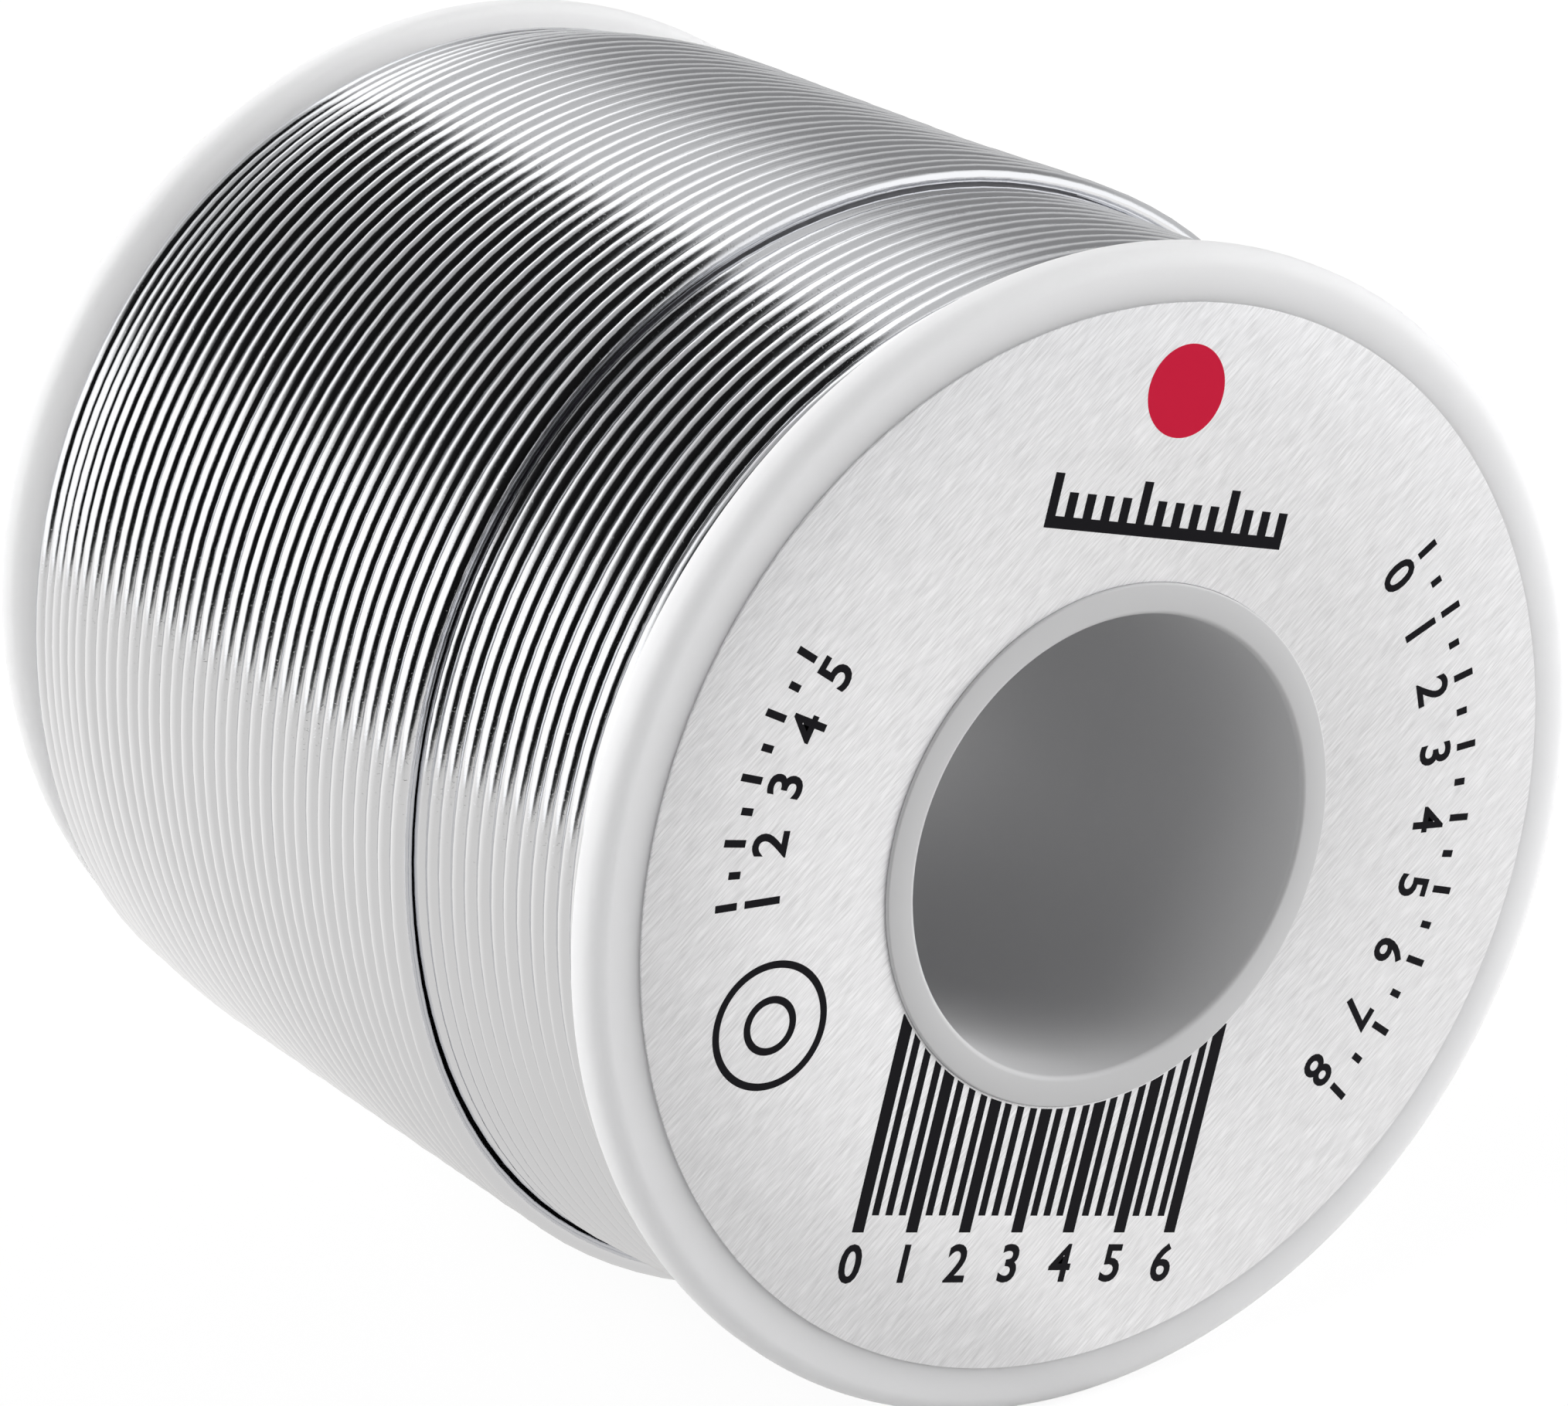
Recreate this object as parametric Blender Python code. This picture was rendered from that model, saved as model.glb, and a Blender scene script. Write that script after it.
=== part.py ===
"""Solder wire spool: two moulded flanges plugged into a barrel, a foil label and the wound wire.

Metres, +Z up. The spool lies on its two flange rims, with its axis along Y and its labelled end
towards -Y. The origin is on the axis, midway between the outer faces of the flanges.
Run with: blender --background --python part.py
"""

import math

import bmesh
import bpy
import numpy as np
from mathutils import Matrix, Vector

# ---- Driving dimensions --------------------------------------------------------------------

# Flanges
FLANGE_RADIUS = 0.0270
FLANGE_THICKNESS = 0.0020
RIM_EDGE_RADIUS = 0.0009  # rounding of both edges of the rim
BORE_MOUTH_RADIUS = 0.0012  # rounding of the mouth of the bore
COLLAR_LENGTH = 0.0050  # how far a flange's collar plugs into the barrel
COLLAR_LEAD_IN = 0.0003  # chamfer at the tip of the collar

# Barrel
WINDING_WIDTH = 0.0498  # clear width between the flanges
BORE_RADIUS = 0.0107
BARREL_WALL = 0.0020

# Label
LABEL_THICKNESS = 0.0002
LABEL_RIM_MARGIN = 0.00235  # from the label's edge to the rim
LABEL_HOLE_MARGIN = 0.00025  # from the rounded mouth of the bore to the label's hole

# Winding
WINDING_RIM_DROP = 0.0002  # the fullest turns stay this far below the rim
TOP_LAYER_WIDTH = 0.0358  # from the rear flange to the step
LAYER_STEP = 0.0009  # one layer of wire, bedded in the one below
REAR_SHOULDER_WIDTH = 0.0070  # where the top layer sinks towards the rear flange
REAR_SHOULDER_DROP = 0.0010
TURN_DIAMETER = 0.0015
TURN_GAP = 0.00045  # smallest gap that is wanted between neighbouring turns
CLIMB_TURNS = 0.5  # the wire climbs a layer in this part of a turn
POINTS_PER_TURN = 24

# Fits and facets
CLEARANCE = 0.0003  # between pieces that touch in the real product
ROUND_SEGMENTS = 72
EDGE_STEPS = 4  # facets in a rounded edge

# ---- Derived sizes -------------------------------------------------------------------------

HALF_WIDTH = WINDING_WIDTH / 2  # inner face of a flange
FACE = HALF_WIDTH + FLANGE_THICKNESS  # outer face of a flange
RIM_ROUNDING = min(RIM_EDGE_RADIUS, 0.45 * FLANGE_THICKNESS)
BARREL_RADIUS = BORE_RADIUS + BARREL_WALL
COLLAR_WALL = (BARREL_WALL - CLEARANCE) / 2  # a half lap: collar and barrel share the wall
COLLAR_RADIUS = BORE_RADIUS + COLLAR_WALL
LEAD_IN = min(COLLAR_LEAD_IN, COLLAR_WALL / 2)
LABEL_RADIUS = FLANGE_RADIUS - LABEL_RIM_MARGIN
LABEL_HOLE_RADIUS = BORE_RADIUS + BORE_MOUTH_RADIUS + LABEL_HOLE_MARGIN
WINDING_RADIUS = FLANGE_RADIUS - WINDING_RIM_DROP
TURN_RADIUS = TURN_DIAMETER / 2
STEP_Y = HALF_WIDTH - TOP_LAYER_WIDTH
# A chord of the wire's path runs this much inside the circle through its ends.
CHORD_DIP = WINDING_RADIUS * (1 - math.cos(math.pi / POINTS_PER_TURN))


def arc(centre, radius, start_deg, end_deg, steps):
    """Points (radius from the axis, y) of an arc, both ends included."""
    points = []
    for i in range(steps + 1):
        angle = math.radians(start_deg + (end_deg - start_deg) * i / steps)
        points.append((centre[0] + radius * math.cos(angle), centre[1] + radius * math.sin(angle)))
    return points


def smoothstep(value):
    """0 below 0, 1 above 1, with a smooth rise between them."""
    value = min(max(value, 0.0), 1.0)
    return value * value * (3 - 2 * value)


def add_material(obj, name, colour, roughness, metallic):
    """Give an object its own Principled material."""
    material = bpy.data.materials.new(name)
    material.use_nodes = True
    shader = material.node_tree.nodes["Principled BSDF"]
    shader.inputs["Base Color"].default_value = (*colour, 1.0)
    shader.inputs["Roughness"].default_value = roughness
    shader.inputs["Metallic"].default_value = metallic
    obj.data.materials.append(material)


def turned_mesh(name, profile):
    """Spin a closed profile of (radius, y) points round the Y axis."""
    mesh = bpy.data.meshes.new(name)
    bm = bmesh.new()
    verts = [bm.verts.new((radius, y, 0.0)) for radius, y in profile]
    edges = [bm.edges.new((verts[i - 1], verts[i])) for i in range(len(verts))]
    bmesh.ops.spin(
        bm,
        geom=verts + edges,
        cent=(0, 0, 0),
        axis=(0, 1, 0),
        angle=2 * math.pi,
        steps=ROUND_SEGMENTS,
        use_merge=True,
    )
    bmesh.ops.remove_doubles(bm, verts=bm.verts, dist=1e-6)
    # Half a facet of turn puts a flat, not a corner, at the bottom of the rim.
    half_facet = Matrix.Rotation(math.pi / ROUND_SEGMENTS, 4, "Y")
    bmesh.ops.transform(bm, matrix=half_facet, verts=bm.verts)
    bmesh.ops.recalc_face_normals(bm, faces=bm.faces)
    bm.to_mesh(mesh)
    bm.free()
    mesh.shade_smooth()
    mesh.set_sharp_from_angle(angle=math.radians(35))
    return mesh


def add_object(name, data, parent):
    """Link an object to the scene and hang it on its parent."""
    obj = bpy.data.objects.new(name, data)
    bpy.context.scene.collection.objects.link(obj)
    obj.parent = parent
    return obj


def flange_profile():
    """One flange with its outer face at y = -FACE and its collar reaching towards +Y."""
    outer, inner = -FACE, -HALF_WIDTH
    rim = FLANGE_RADIUS - RIM_ROUNDING
    collar_tip = inner + COLLAR_LENGTH
    points = arc(
        (BORE_RADIUS + BORE_MOUTH_RADIUS, outer + BORE_MOUTH_RADIUS),
        BORE_MOUTH_RADIUS,
        180,
        270,
        EDGE_STEPS,
    )
    points += arc((rim, outer + RIM_ROUNDING), RIM_ROUNDING, 270, 360, EDGE_STEPS)
    points += arc((rim, inner - RIM_ROUNDING), RIM_ROUNDING, 0, 90, EDGE_STEPS)
    points += [
        (COLLAR_RADIUS, inner),
        (COLLAR_RADIUS, collar_tip - LEAD_IN),
        (COLLAR_RADIUS - LEAD_IN, collar_tip),
        (BORE_RADIUS, collar_tip),
    ]
    return points


def add_flanges(parent):
    """Both flanges come from one mould; the rear one is turned round."""
    mesh = turned_mesh("flange", flange_profile())
    for name, turn in (("front_flange", 0.0), ("rear_flange", math.pi)):
        flange = add_object(name, mesh.copy(), parent)
        flange.rotation_euler.z = turn
        add_material(flange, name + "_white_plastic", (0.80, 0.80, 0.81), 0.42, 0.0)


def add_barrel(parent):
    """The tube between the flanges, counterbored at both ends for their collars."""
    end = HALF_WIDTH - CLEARANCE
    seat = HALF_WIDTH - COLLAR_LENGTH - CLEARANCE
    socket_radius = COLLAR_RADIUS + CLEARANCE
    profile = [
        (BORE_RADIUS, -seat),
        (socket_radius, -seat),
        (socket_radius, -end),
        (BARREL_RADIUS, -end),
        (BARREL_RADIUS, end),
        (socket_radius, end),
        (socket_radius, seat),
        (BORE_RADIUS, seat),
    ]
    barrel = add_object("hub_barrel", turned_mesh("hub_barrel", profile), parent)
    add_material(barrel, "barrel_white_plastic", (0.78, 0.78, 0.79), 0.45, 0.0)


def add_label(parent):
    """The foil label on the front flange, with a hole round the mouth of the bore."""
    back = -FACE - CLEARANCE
    front = back - LABEL_THICKNESS
    profile = [
        (LABEL_HOLE_RADIUS, front),
        (LABEL_RADIUS, front),
        (LABEL_RADIUS, back),
        (LABEL_HOLE_RADIUS, back),
    ]
    label = add_object("front_label", turned_mesh("front_label", profile), parent)
    add_material(label, "brushed_foil", (0.72, 0.72, 0.73), 0.35, 0.6)


def top_surface(y):
    """Radius over the top layer's turns at y, with the shoulder by the rear flange."""
    from_flange = (HALF_WIDTH - y) / REAR_SHOULDER_WIDTH
    return WINDING_RADIUS - REAR_SHOULDER_DROP * (1 - smoothstep(from_flange))


def add_buried_layers(parent):
    """The layers under the outer turns, as one stepped ring on the barrel."""
    end = HALF_WIDTH - CLEARANCE
    cover = TURN_DIAMETER + CHORD_DIP + CLEARANCE
    inside = BARREL_RADIUS + CLEARANCE
    low = WINDING_RADIUS - LAYER_STEP - cover
    # The high part ends where the last turn of the top layer still lies wholly on it.
    high_end = STEP_Y + TURN_RADIUS + CLEARANCE
    shoulder = [end - (REAR_SHOULDER_WIDTH - CLEARANCE) * i / EDGE_STEPS for i in range(EDGE_STEPS + 1)]
    profile = [
        (inside, -end),
        (low, -end),
        (low, high_end),
        (top_surface(high_end) - cover, high_end),
    ]
    profile += [(top_surface(y) - cover, y) for y in reversed(shoulder)]
    profile.append((inside, end))
    layers = add_object("buried_wire_layers", turned_mesh("buried_wire_layers", profile), parent)
    add_material(layers, "buried_solder", (0.55, 0.55, 0.57), 0.35, 1.0)


def outer_turn_path():
    """Centre line of the outer turns, from the rear flange to the front one."""
    first_y = HALF_WIDTH - CLEARANCE - TURN_RADIUS
    span = 2 * first_y
    turns = math.floor(span / (TURN_DIAMETER + TURN_GAP))
    pitch = span / turns
    climb_start = (first_y - STEP_Y) / pitch
    points = []
    for i in range(turns * POINTS_PER_TURN + 1):
        turn = i / POINTS_PER_TURN
        y = first_y - pitch * turn
        radius = top_surface(y) - TURN_RADIUS
        radius -= LAYER_STEP * smoothstep((turn - climb_start) / CLIMB_TURNS)
        angle = 2 * math.pi * turn
        points.append(Vector((radius * math.cos(angle), y, radius * math.sin(angle))))
    # Both ends leave the last turn straight, for one diameter of the tube.
    start_run = (points[0] - points[1]).normalized() * TURN_DIAMETER
    end_run = (points[-1] - points[-2]).normalized() * TURN_DIAMETER
    return [points[0] + start_run] + points + [points[-1] + end_run]


def least_gap(points, diameter):
    """Smallest gap of a tube to itself, measured between points at least half a turn apart."""
    centres = np.array([tuple(point) for point in points])
    best = math.inf
    apart = POINTS_PER_TURN // 2
    for i in range(len(centres) - apart):
        distances = np.linalg.norm(centres[i + apart :] - centres[i], axis=1)
        best = min(best, float(distances.min()))
    return best - diameter


def add_outer_turns(parent):
    """The turns that show, as one unbroken tube: the top layer, the climb and the layer below."""
    points = outer_turn_path()
    curve = bpy.data.curves.new("outer_wire_turns", "CURVE")
    curve.dimensions = "3D"
    curve.bevel_depth = TURN_RADIUS
    curve.bevel_resolution = 1
    curve.use_fill_caps = True
    spline = curve.splines.new("POLY")
    spline.points.add(len(points) - 1)
    for spline_point, point in zip(spline.points, points):
        spline_point.co = (*point, 1.0)
    turns = add_object("outer_wire_turns", curve, parent)
    add_material(turns, "bright_solder", (0.70, 0.70, 0.72), 0.18, 1.0)
    print(f"outer_wire_turns: least gap to itself {least_gap(points, TURN_DIAMETER) * 1000:.3f} mm")


def main():
    for obj in list(bpy.data.objects):
        bpy.data.objects.remove(obj, do_unlink=True)
    spool = add_object("spool", None, None)
    add_flanges(spool)
    add_barrel(spool)
    add_label(spool)
    add_buried_layers(spool)
    add_outer_turns(spool)


main()
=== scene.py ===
"""Looks of a solder wire spool: turned plastic flanges, a brushed foil label and the wound wire.

Metres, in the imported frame: the spool's axis is Y, its labelled end points to -Y and +Z is up.
"""

import logging
import math
from collections.abc import Callable
from dataclasses import dataclass
from enum import Enum

import bmesh
import bpy
import numpy as np
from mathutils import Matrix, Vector


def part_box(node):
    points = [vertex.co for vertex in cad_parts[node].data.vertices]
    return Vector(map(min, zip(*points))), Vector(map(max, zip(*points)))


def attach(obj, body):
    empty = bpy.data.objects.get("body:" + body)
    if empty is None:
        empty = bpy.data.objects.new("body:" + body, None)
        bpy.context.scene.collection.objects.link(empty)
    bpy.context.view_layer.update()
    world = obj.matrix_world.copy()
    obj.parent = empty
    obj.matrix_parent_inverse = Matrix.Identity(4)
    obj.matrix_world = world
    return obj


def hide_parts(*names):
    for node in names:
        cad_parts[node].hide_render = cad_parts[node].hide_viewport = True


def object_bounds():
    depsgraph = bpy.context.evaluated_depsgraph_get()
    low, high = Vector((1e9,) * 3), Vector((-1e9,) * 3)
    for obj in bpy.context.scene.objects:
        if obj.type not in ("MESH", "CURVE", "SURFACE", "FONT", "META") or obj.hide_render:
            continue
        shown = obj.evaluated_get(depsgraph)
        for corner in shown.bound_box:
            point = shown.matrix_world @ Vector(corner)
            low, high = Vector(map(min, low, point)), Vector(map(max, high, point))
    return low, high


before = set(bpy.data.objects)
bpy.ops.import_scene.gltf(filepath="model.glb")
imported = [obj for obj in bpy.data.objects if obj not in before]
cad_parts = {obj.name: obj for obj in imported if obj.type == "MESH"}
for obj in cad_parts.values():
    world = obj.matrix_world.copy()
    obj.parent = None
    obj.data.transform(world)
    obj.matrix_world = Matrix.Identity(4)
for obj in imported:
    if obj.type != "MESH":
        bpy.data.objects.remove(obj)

CAD_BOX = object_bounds()
MM = 0.001
BODY = "root"
ROUND_STEPS = 256  # facets round a turned piece
PLAIN_STEPS = 96  # facets round the printed dot and the floor

log = logging.getLogger("spool")


# ---- Helpers -------------------------------------------------------------------------------


def linear(hex_colour: str) -> tuple[float, float, float, float]:
    """Turn an sRGB colour into the linear one that a shader takes.

    Args:
        hex_colour: The colour as "#RRGGBB".

    Returns:
        Red, green, blue and an alpha of 1, all linear.
    """
    channels = [int(hex_colour[i : i + 2], 16) / 255 for i in (1, 3, 5)]
    lit = [c / 12.92 if c <= 0.04045 else ((c + 0.055) / 1.055) ** 2.4 for c in channels]
    return (lit[0], lit[1], lit[2], 1.0)


def add_node(tree: bpy.types.NodeTree, kind: str, inputs: dict | None = None, **settings) -> bpy.types.Node:
    """Add a node, set it up and feed its inputs.

    Args:
        tree: The node tree that gets the node.
        kind: The node's type without its "ShaderNode" prefix.
        inputs: Input name or number to a value, or to the output socket that feeds it.
        **settings: The node's own properties.

    Returns:
        The new node.
    """
    node = tree.nodes.new("ShaderNode" + kind)
    for name, value in settings.items():
        setattr(node, name, value)
    for key, value in (inputs or {}).items():
        if isinstance(value, bpy.types.NodeSocket):
            tree.links.new(value, node.inputs[key])
        else:
            node.inputs[key].default_value = value
    return node


def new_material(name: str) -> tuple[bpy.types.Material, bpy.types.NodeTree, bpy.types.Node]:
    """Make a material with its node tree.

    Args:
        name: The material's name.

    Returns:
        The material, its tree and its Principled BSDF.
    """
    material = bpy.data.materials.new(name)
    material.use_nodes = True
    tree = material.node_tree
    return material, tree, tree.nodes["Principled BSDF"]


def deselect_all() -> None:
    """Leave no object selected."""
    bpy.ops.object.select_all(action="DESELECT")


def radius_of(node: str) -> float:
    """Read the radius of a round node of the frame.

    Args:
        node: The node's name.

    Returns:
        Half its width across the spool's axis.
    """
    low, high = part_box(node)
    return (high.x - low.x) / 2


def settle(obj: bpy.types.Object) -> None:
    """Put an object's place, turn and scale into its mesh.

    Args:
        obj: The object, which ends at the origin, unturned and unscaled.
    """
    deselect_all()
    obj.select_set(True)
    bpy.context.view_layer.objects.active = obj
    bpy.ops.object.transform_apply(location=True, rotation=True, scale=True)


def pick(obj: bpy.types.Object, kind: str, test: Callable[..., bool]) -> None:
    """Select the elements of a mesh in edit mode that pass a test, and only those.

    Args:
        obj: The object in edit mode.
        kind: "verts", "edges" or "faces".
        test: Says whether an element is wanted.
    """
    modes = {"verts": "VERT", "edges": "EDGE", "faces": "FACE"}
    bpy.ops.mesh.select_mode(type=modes[kind])
    bpy.ops.mesh.select_all(action="DESELECT")
    mesh = bmesh.from_edit_mesh(obj.data)
    for element in getattr(mesh, kind):
        element.select_set(test(element))
    mesh.select_flush_mode()
    bmesh.update_edit_mesh(obj.data)


def join(parts: list[bpy.types.Object], name: str) -> bpy.types.Object:
    """Join several meshes into one object.

    Args:
        parts: The objects to join.
        name: The name of the result.

    Returns:
        The joined object.
    """
    deselect_all()
    for part in parts:
        part.select_set(True)
    bpy.context.view_layer.objects.active = parts[0]
    bpy.ops.object.join()
    joined = bpy.context.view_layer.objects.active
    joined.name = name
    return joined


def dress(piece: bpy.types.Object, material: bpy.types.Material, slot: str, *nodes: str) -> None:
    """Finish a piece: material, body and the frame nodes that it stands for.

    Args:
        piece: The finished mesh.
        material: Its only material.
        slot: Not used.
        *nodes: Names of the frame's nodes that it replaces.
    """
    piece.data.materials.clear()
    piece.data.materials.append(material)
    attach(piece, BODY)
    if nodes:
        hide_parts(*nodes)
    log.info("%s: %d faces, %s", piece.name, len(piece.data.polygons), material.name)


# ---- Finishes ------------------------------------------------------------------------------


@dataclass(frozen=True)
class MouldedPolystyrene:
    """Injection-moulded white polystyrene: a soft satin skin, with a faint cast of the mould.

    Light comes through the thin flange and lifts it; the thick wall round the hub has its colour painted
    darker, as painted shade for the light that does not come through it.
    A slow cloud in tint and gloss keeps the wide faces from looking flat.
    """

    name: str
    thin_colour: str = "#F3F3F5"
    # painted shade: a darker colour for the thick wall round the hub, where less light comes through
    thick_colour: str = "#D1D1D2"
    thick_radius: float = 12.0 * MM  # inside this distance from the axis the wall is thick, and its colour is painted darker as shade
    thick_blend: float = 0.9 * MM  # and it thins out over this width
    roughness: tuple[float, float] = (0.37, 0.47)
    ior: float = 1.55
    cloud_mm: float = 8.0
    cloud_share: float = 0.04
    grain_mm: float = 0.35  # the faint waviness of a moulded skin
    grain_depth_mm: float = 0.004
    light_through: float = 0.85  # share of the light that goes in and comes out elsewhere
    light_depth_mm: float = 2.5  # how far it travels inside

    def material(self) -> bpy.types.Material:
        """Build the plastic's material.

        Returns:
            The material.
        """
        material, tree, shader = new_material(self.name)
        place = add_node(tree, "TexCoord").outputs["Object"]
        flat = add_node(tree, "Mapping", {"Vector": place, "Scale": (1.0, 0.0, 1.0)})
        radius = add_node(tree, "VectorMath", {0: flat.outputs[0]}, operation="LENGTH")
        thin = add_node(
            tree,
            "MapRange",
            {"Value": radius.outputs["Value"], 1: self.thick_radius, 2: self.thick_radius + self.thick_blend},
        )
        # painted shade: the colour darkens from the thin flange to the thick wall round the hub
        wall = add_node(
            tree,
            "Mix",
            {0: thin.outputs[0], 6: linear(self.thick_colour), 7: linear(self.thin_colour)},
            data_type="RGBA",
        )
        cloud = add_node(
            tree, "TexNoise", {"Vector": place, "Scale": 1 / (self.cloud_mm * MM), "Detail": 2.0}
        )
        tint = add_node(
            tree,
            "Mix",
            {0: self.cloud_share, 6: wall.outputs[2], 7: cloud.outputs["Fac"]},
            data_type="RGBA",
            blend_type="MULTIPLY",
        )
        tree.links.new(tint.outputs[2], shader.inputs["Base Color"])
        skin = add_node(tree, "TexNoise", {"Vector": place, "Scale": 1 / (self.grain_mm * MM), "Detail": 3.0})
        gloss = add_node(
            tree,
            "MapRange",
            {"Value": cloud.outputs["Fac"], 3: self.roughness[0], 4: self.roughness[1]},
        )
        tree.links.new(gloss.outputs[0], shader.inputs["Roughness"])
        bump = add_node(
            tree,
            "Bump",
            {"Height": skin.outputs["Fac"], "Strength": 0.25, "Distance": self.grain_depth_mm * MM},
        )
        tree.links.new(bump.outputs[0], shader.inputs["Normal"])
        shader.inputs["IOR"].default_value = self.ior
        glow = add_node(tree, "Math", {0: thin.outputs[0], 1: self.light_through}, operation="MULTIPLY")
        tree.links.new(glow.outputs[0], shader.inputs["Subsurface Weight"])
        shader.inputs["Subsurface Radius"].default_value = (1.0, 1.0, 1.0)
        shader.inputs["Subsurface Scale"].default_value = self.light_depth_mm * MM
        return material


@dataclass(frozen=True)
class BrushedFoil:
    """Silver label foil, brushed across in one direction: short pale and dark strokes in a satin grey.

    Two noises drawn out along the brushing give the strokes, a coarse one and a finer one. They tint the
    foil, and they turn its gloss and its surface a little, so that the strokes glint apart.
    """

    name: str = "brushed_silver_foil"
    colour: str = "#FBFBFD"
    stroke_angle_deg: float = 38.0  # strokes rise this steeply towards +X
    stroke_length_mm: float = 1.7
    stroke_width_mm: float = 0.10  # drawn coarser than the brush's grit, so that it shows
    stroke_depth_mm: float = 0.012
    fine_share: float = 0.45  # size of the finer strokes against the coarse ones
    fine_mix: float = 0.4  # how much they show beside the coarse ones
    contrast: tuple[float, float] = (0.35, 0.62)  # levels of the noise that read as dark and pale
    dark_share: float = 0.74  # how much of the foil's colour the dark strokes keep
    roughness: tuple[float, float] = (0.5, 0.32)  # of the dark and the pale strokes
    metal_share: float = 0.4  # the clear varnish over the foil takes most of its mirror away

    def material(self) -> bpy.types.Material:
        """Build the foil's material.

        Returns:
            The material.
        """
        material, tree, shader = new_material(self.name)
        place = add_node(tree, "TexCoord").outputs["Object"]
        turned = add_node(
            tree, "Mapping", {"Vector": place, "Rotation": (0.0, math.radians(self.stroke_angle_deg), 0.0)}
        )
        strokes = []
        for share, seed in ((1.0, 0.0), (self.fine_share, 40.0)):
            across = 1 / (self.stroke_width_mm * share * MM)
            along = 1 / (self.stroke_length_mm * share * MM)
            run = add_node(
                tree,
                "Mapping",
                {
                    "Vector": turned.outputs[0],
                    "Location": (seed, seed, seed),
                    "Scale": (along, across, across),
                },
            )
            noise = add_node(
                tree, "TexNoise", {"Vector": run.outputs[0], "Scale": 1.0, "Detail": 2.0, "Roughness": 0.6}
            )
            strokes.append(noise.outputs["Fac"])
        coarse, fine = strokes
        mixed = add_node(tree, "Mix", {0: self.fine_mix, 2: coarse, 3: fine}, data_type="FLOAT")
        spread = add_node(
            tree, "MapRange", {"Value": mixed.outputs[0], 1: self.contrast[0], 2: self.contrast[1]}
        )
        dark = tuple(self.dark_share * c for c in linear(self.colour)[:3]) + (1.0,)
        tint = add_node(
            tree, "Mix", {0: spread.outputs[0], 6: dark, 7: linear(self.colour)}, data_type="RGBA"
        )
        tree.links.new(tint.outputs[2], shader.inputs["Base Color"])
        gloss = add_node(
            tree, "MapRange", {"Value": mixed.outputs[0], 3: self.roughness[0], 4: self.roughness[1]}
        )
        tree.links.new(gloss.outputs[0], shader.inputs["Roughness"])
        bump = add_node(
            tree, "Bump", {"Height": mixed.outputs[0], "Strength": 0.5, "Distance": self.stroke_depth_mm * MM}
        )
        tree.links.new(bump.outputs[0], shader.inputs["Normal"])
        shader.inputs["Metallic"].default_value = self.metal_share
        return material


@dataclass(frozen=True)
class DrawnSolder:
    """Bright tin solder wire, drawn through a die: mirror-like, with fine scratches along the wire.

    The scratches blur the mirror unevenly, and the specks make it sparkle where bright meets dark.
    """

    name: str = "drawn_tin_solder"
    colour: str = "#E9EAED"
    roughness: tuple[float, float] = (0.07, 0.18)
    scratch_length_mm: float = 1.6
    scratch_width_mm: float = 0.05
    speck_mm: float = 0.11  # tiny pits and crumbs of flux
    speck_levels: tuple[float, float] = (0.64, 0.74)  # only the peaks of the noise make a speck
    speck_share: float = 0.8  # height of a speck against the scratches
    relief_mm: float = 0.0045

    def material(self) -> bpy.types.Material:
        """Build the wire's material, whose pattern runs on the attribute of the wire's own lay.

        Returns:
            The material.
        """
        material, tree, shader = new_material(self.name)
        lay = add_node(tree, "Attribute", attribute_name=Winding.LAY).outputs["Vector"]
        along, across = 1 / (self.scratch_length_mm * MM), 1 / (self.scratch_width_mm * MM)
        run = add_node(tree, "Mapping", {"Vector": lay, "Scale": (along, across, across)})
        scratches = add_node(
            tree, "TexNoise", {"Vector": run.outputs[0], "Scale": 1.0, "Detail": 2.0, "Roughness": 0.65}
        )
        specks = add_node(
            tree, "TexNoise", {"Vector": lay, "Scale": 1 / (self.speck_mm * MM), "Detail": 1.0}
        )
        pits = add_node(
            tree,
            "MapRange",
            {"Value": specks.outputs["Fac"], 1: self.speck_levels[0], 2: self.speck_levels[1]},
        )
        height = add_node(
            tree,
            "Math",
            {0: pits.outputs[0], 1: self.speck_share, 2: scratches.outputs["Fac"]},
            operation="MULTIPLY_ADD",
        )
        bump = add_node(
            tree, "Bump", {"Height": height.outputs[0], "Strength": 0.5, "Distance": self.relief_mm * MM}
        )
        tree.links.new(bump.outputs[0], shader.inputs["Normal"])
        gloss = add_node(
            tree,
            "MapRange",
            {"Value": scratches.outputs["Fac"], 3: self.roughness[0], 4: self.roughness[1]},
        )
        tree.links.new(gloss.outputs[0], shader.inputs["Roughness"])
        shader.inputs["Base Color"].default_value = linear(self.colour)
        shader.inputs["Metallic"].default_value = 1.0
        return material


@dataclass(frozen=True)
class DullSolder:
    """The same solder deep between the turns, its colour darkened as painted shade, so that the gaps read
    dark and soft.
    """

    name: str = "painted_shade_inner_solder"
    # painted shade: the buried solder is coloured dark so that the gaps between turns and the step's groove
    # read dark
    colour: str = "#77777A"
    roughness: tuple[float, float] = (0.35, 0.6)
    film_mm: float = 0.6  # patches of flux

    def material(self) -> bpy.types.Material:
        """Build the dull metal's material.

        Returns:
            The material.
        """
        material, tree, shader = new_material(self.name)
        place = add_node(tree, "TexCoord").outputs["Object"]
        noise = add_node(tree, "TexNoise", {"Vector": place, "Scale": 1 / (self.film_mm * MM), "Detail": 3.0})
        gloss = add_node(
            tree, "MapRange", {"Value": noise.outputs["Fac"], 3: self.roughness[0], 4: self.roughness[1]}
        )
        tree.links.new(gloss.outputs[0], shader.inputs["Roughness"])
        shader.inputs["Base Color"].default_value = linear(self.colour)
        shader.inputs["Metallic"].default_value = 1.0
        return material


class Ink(Enum):
    """The label's two printing inks."""

    BLACK = "#100F14"
    RED = "#D41E40"


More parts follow.
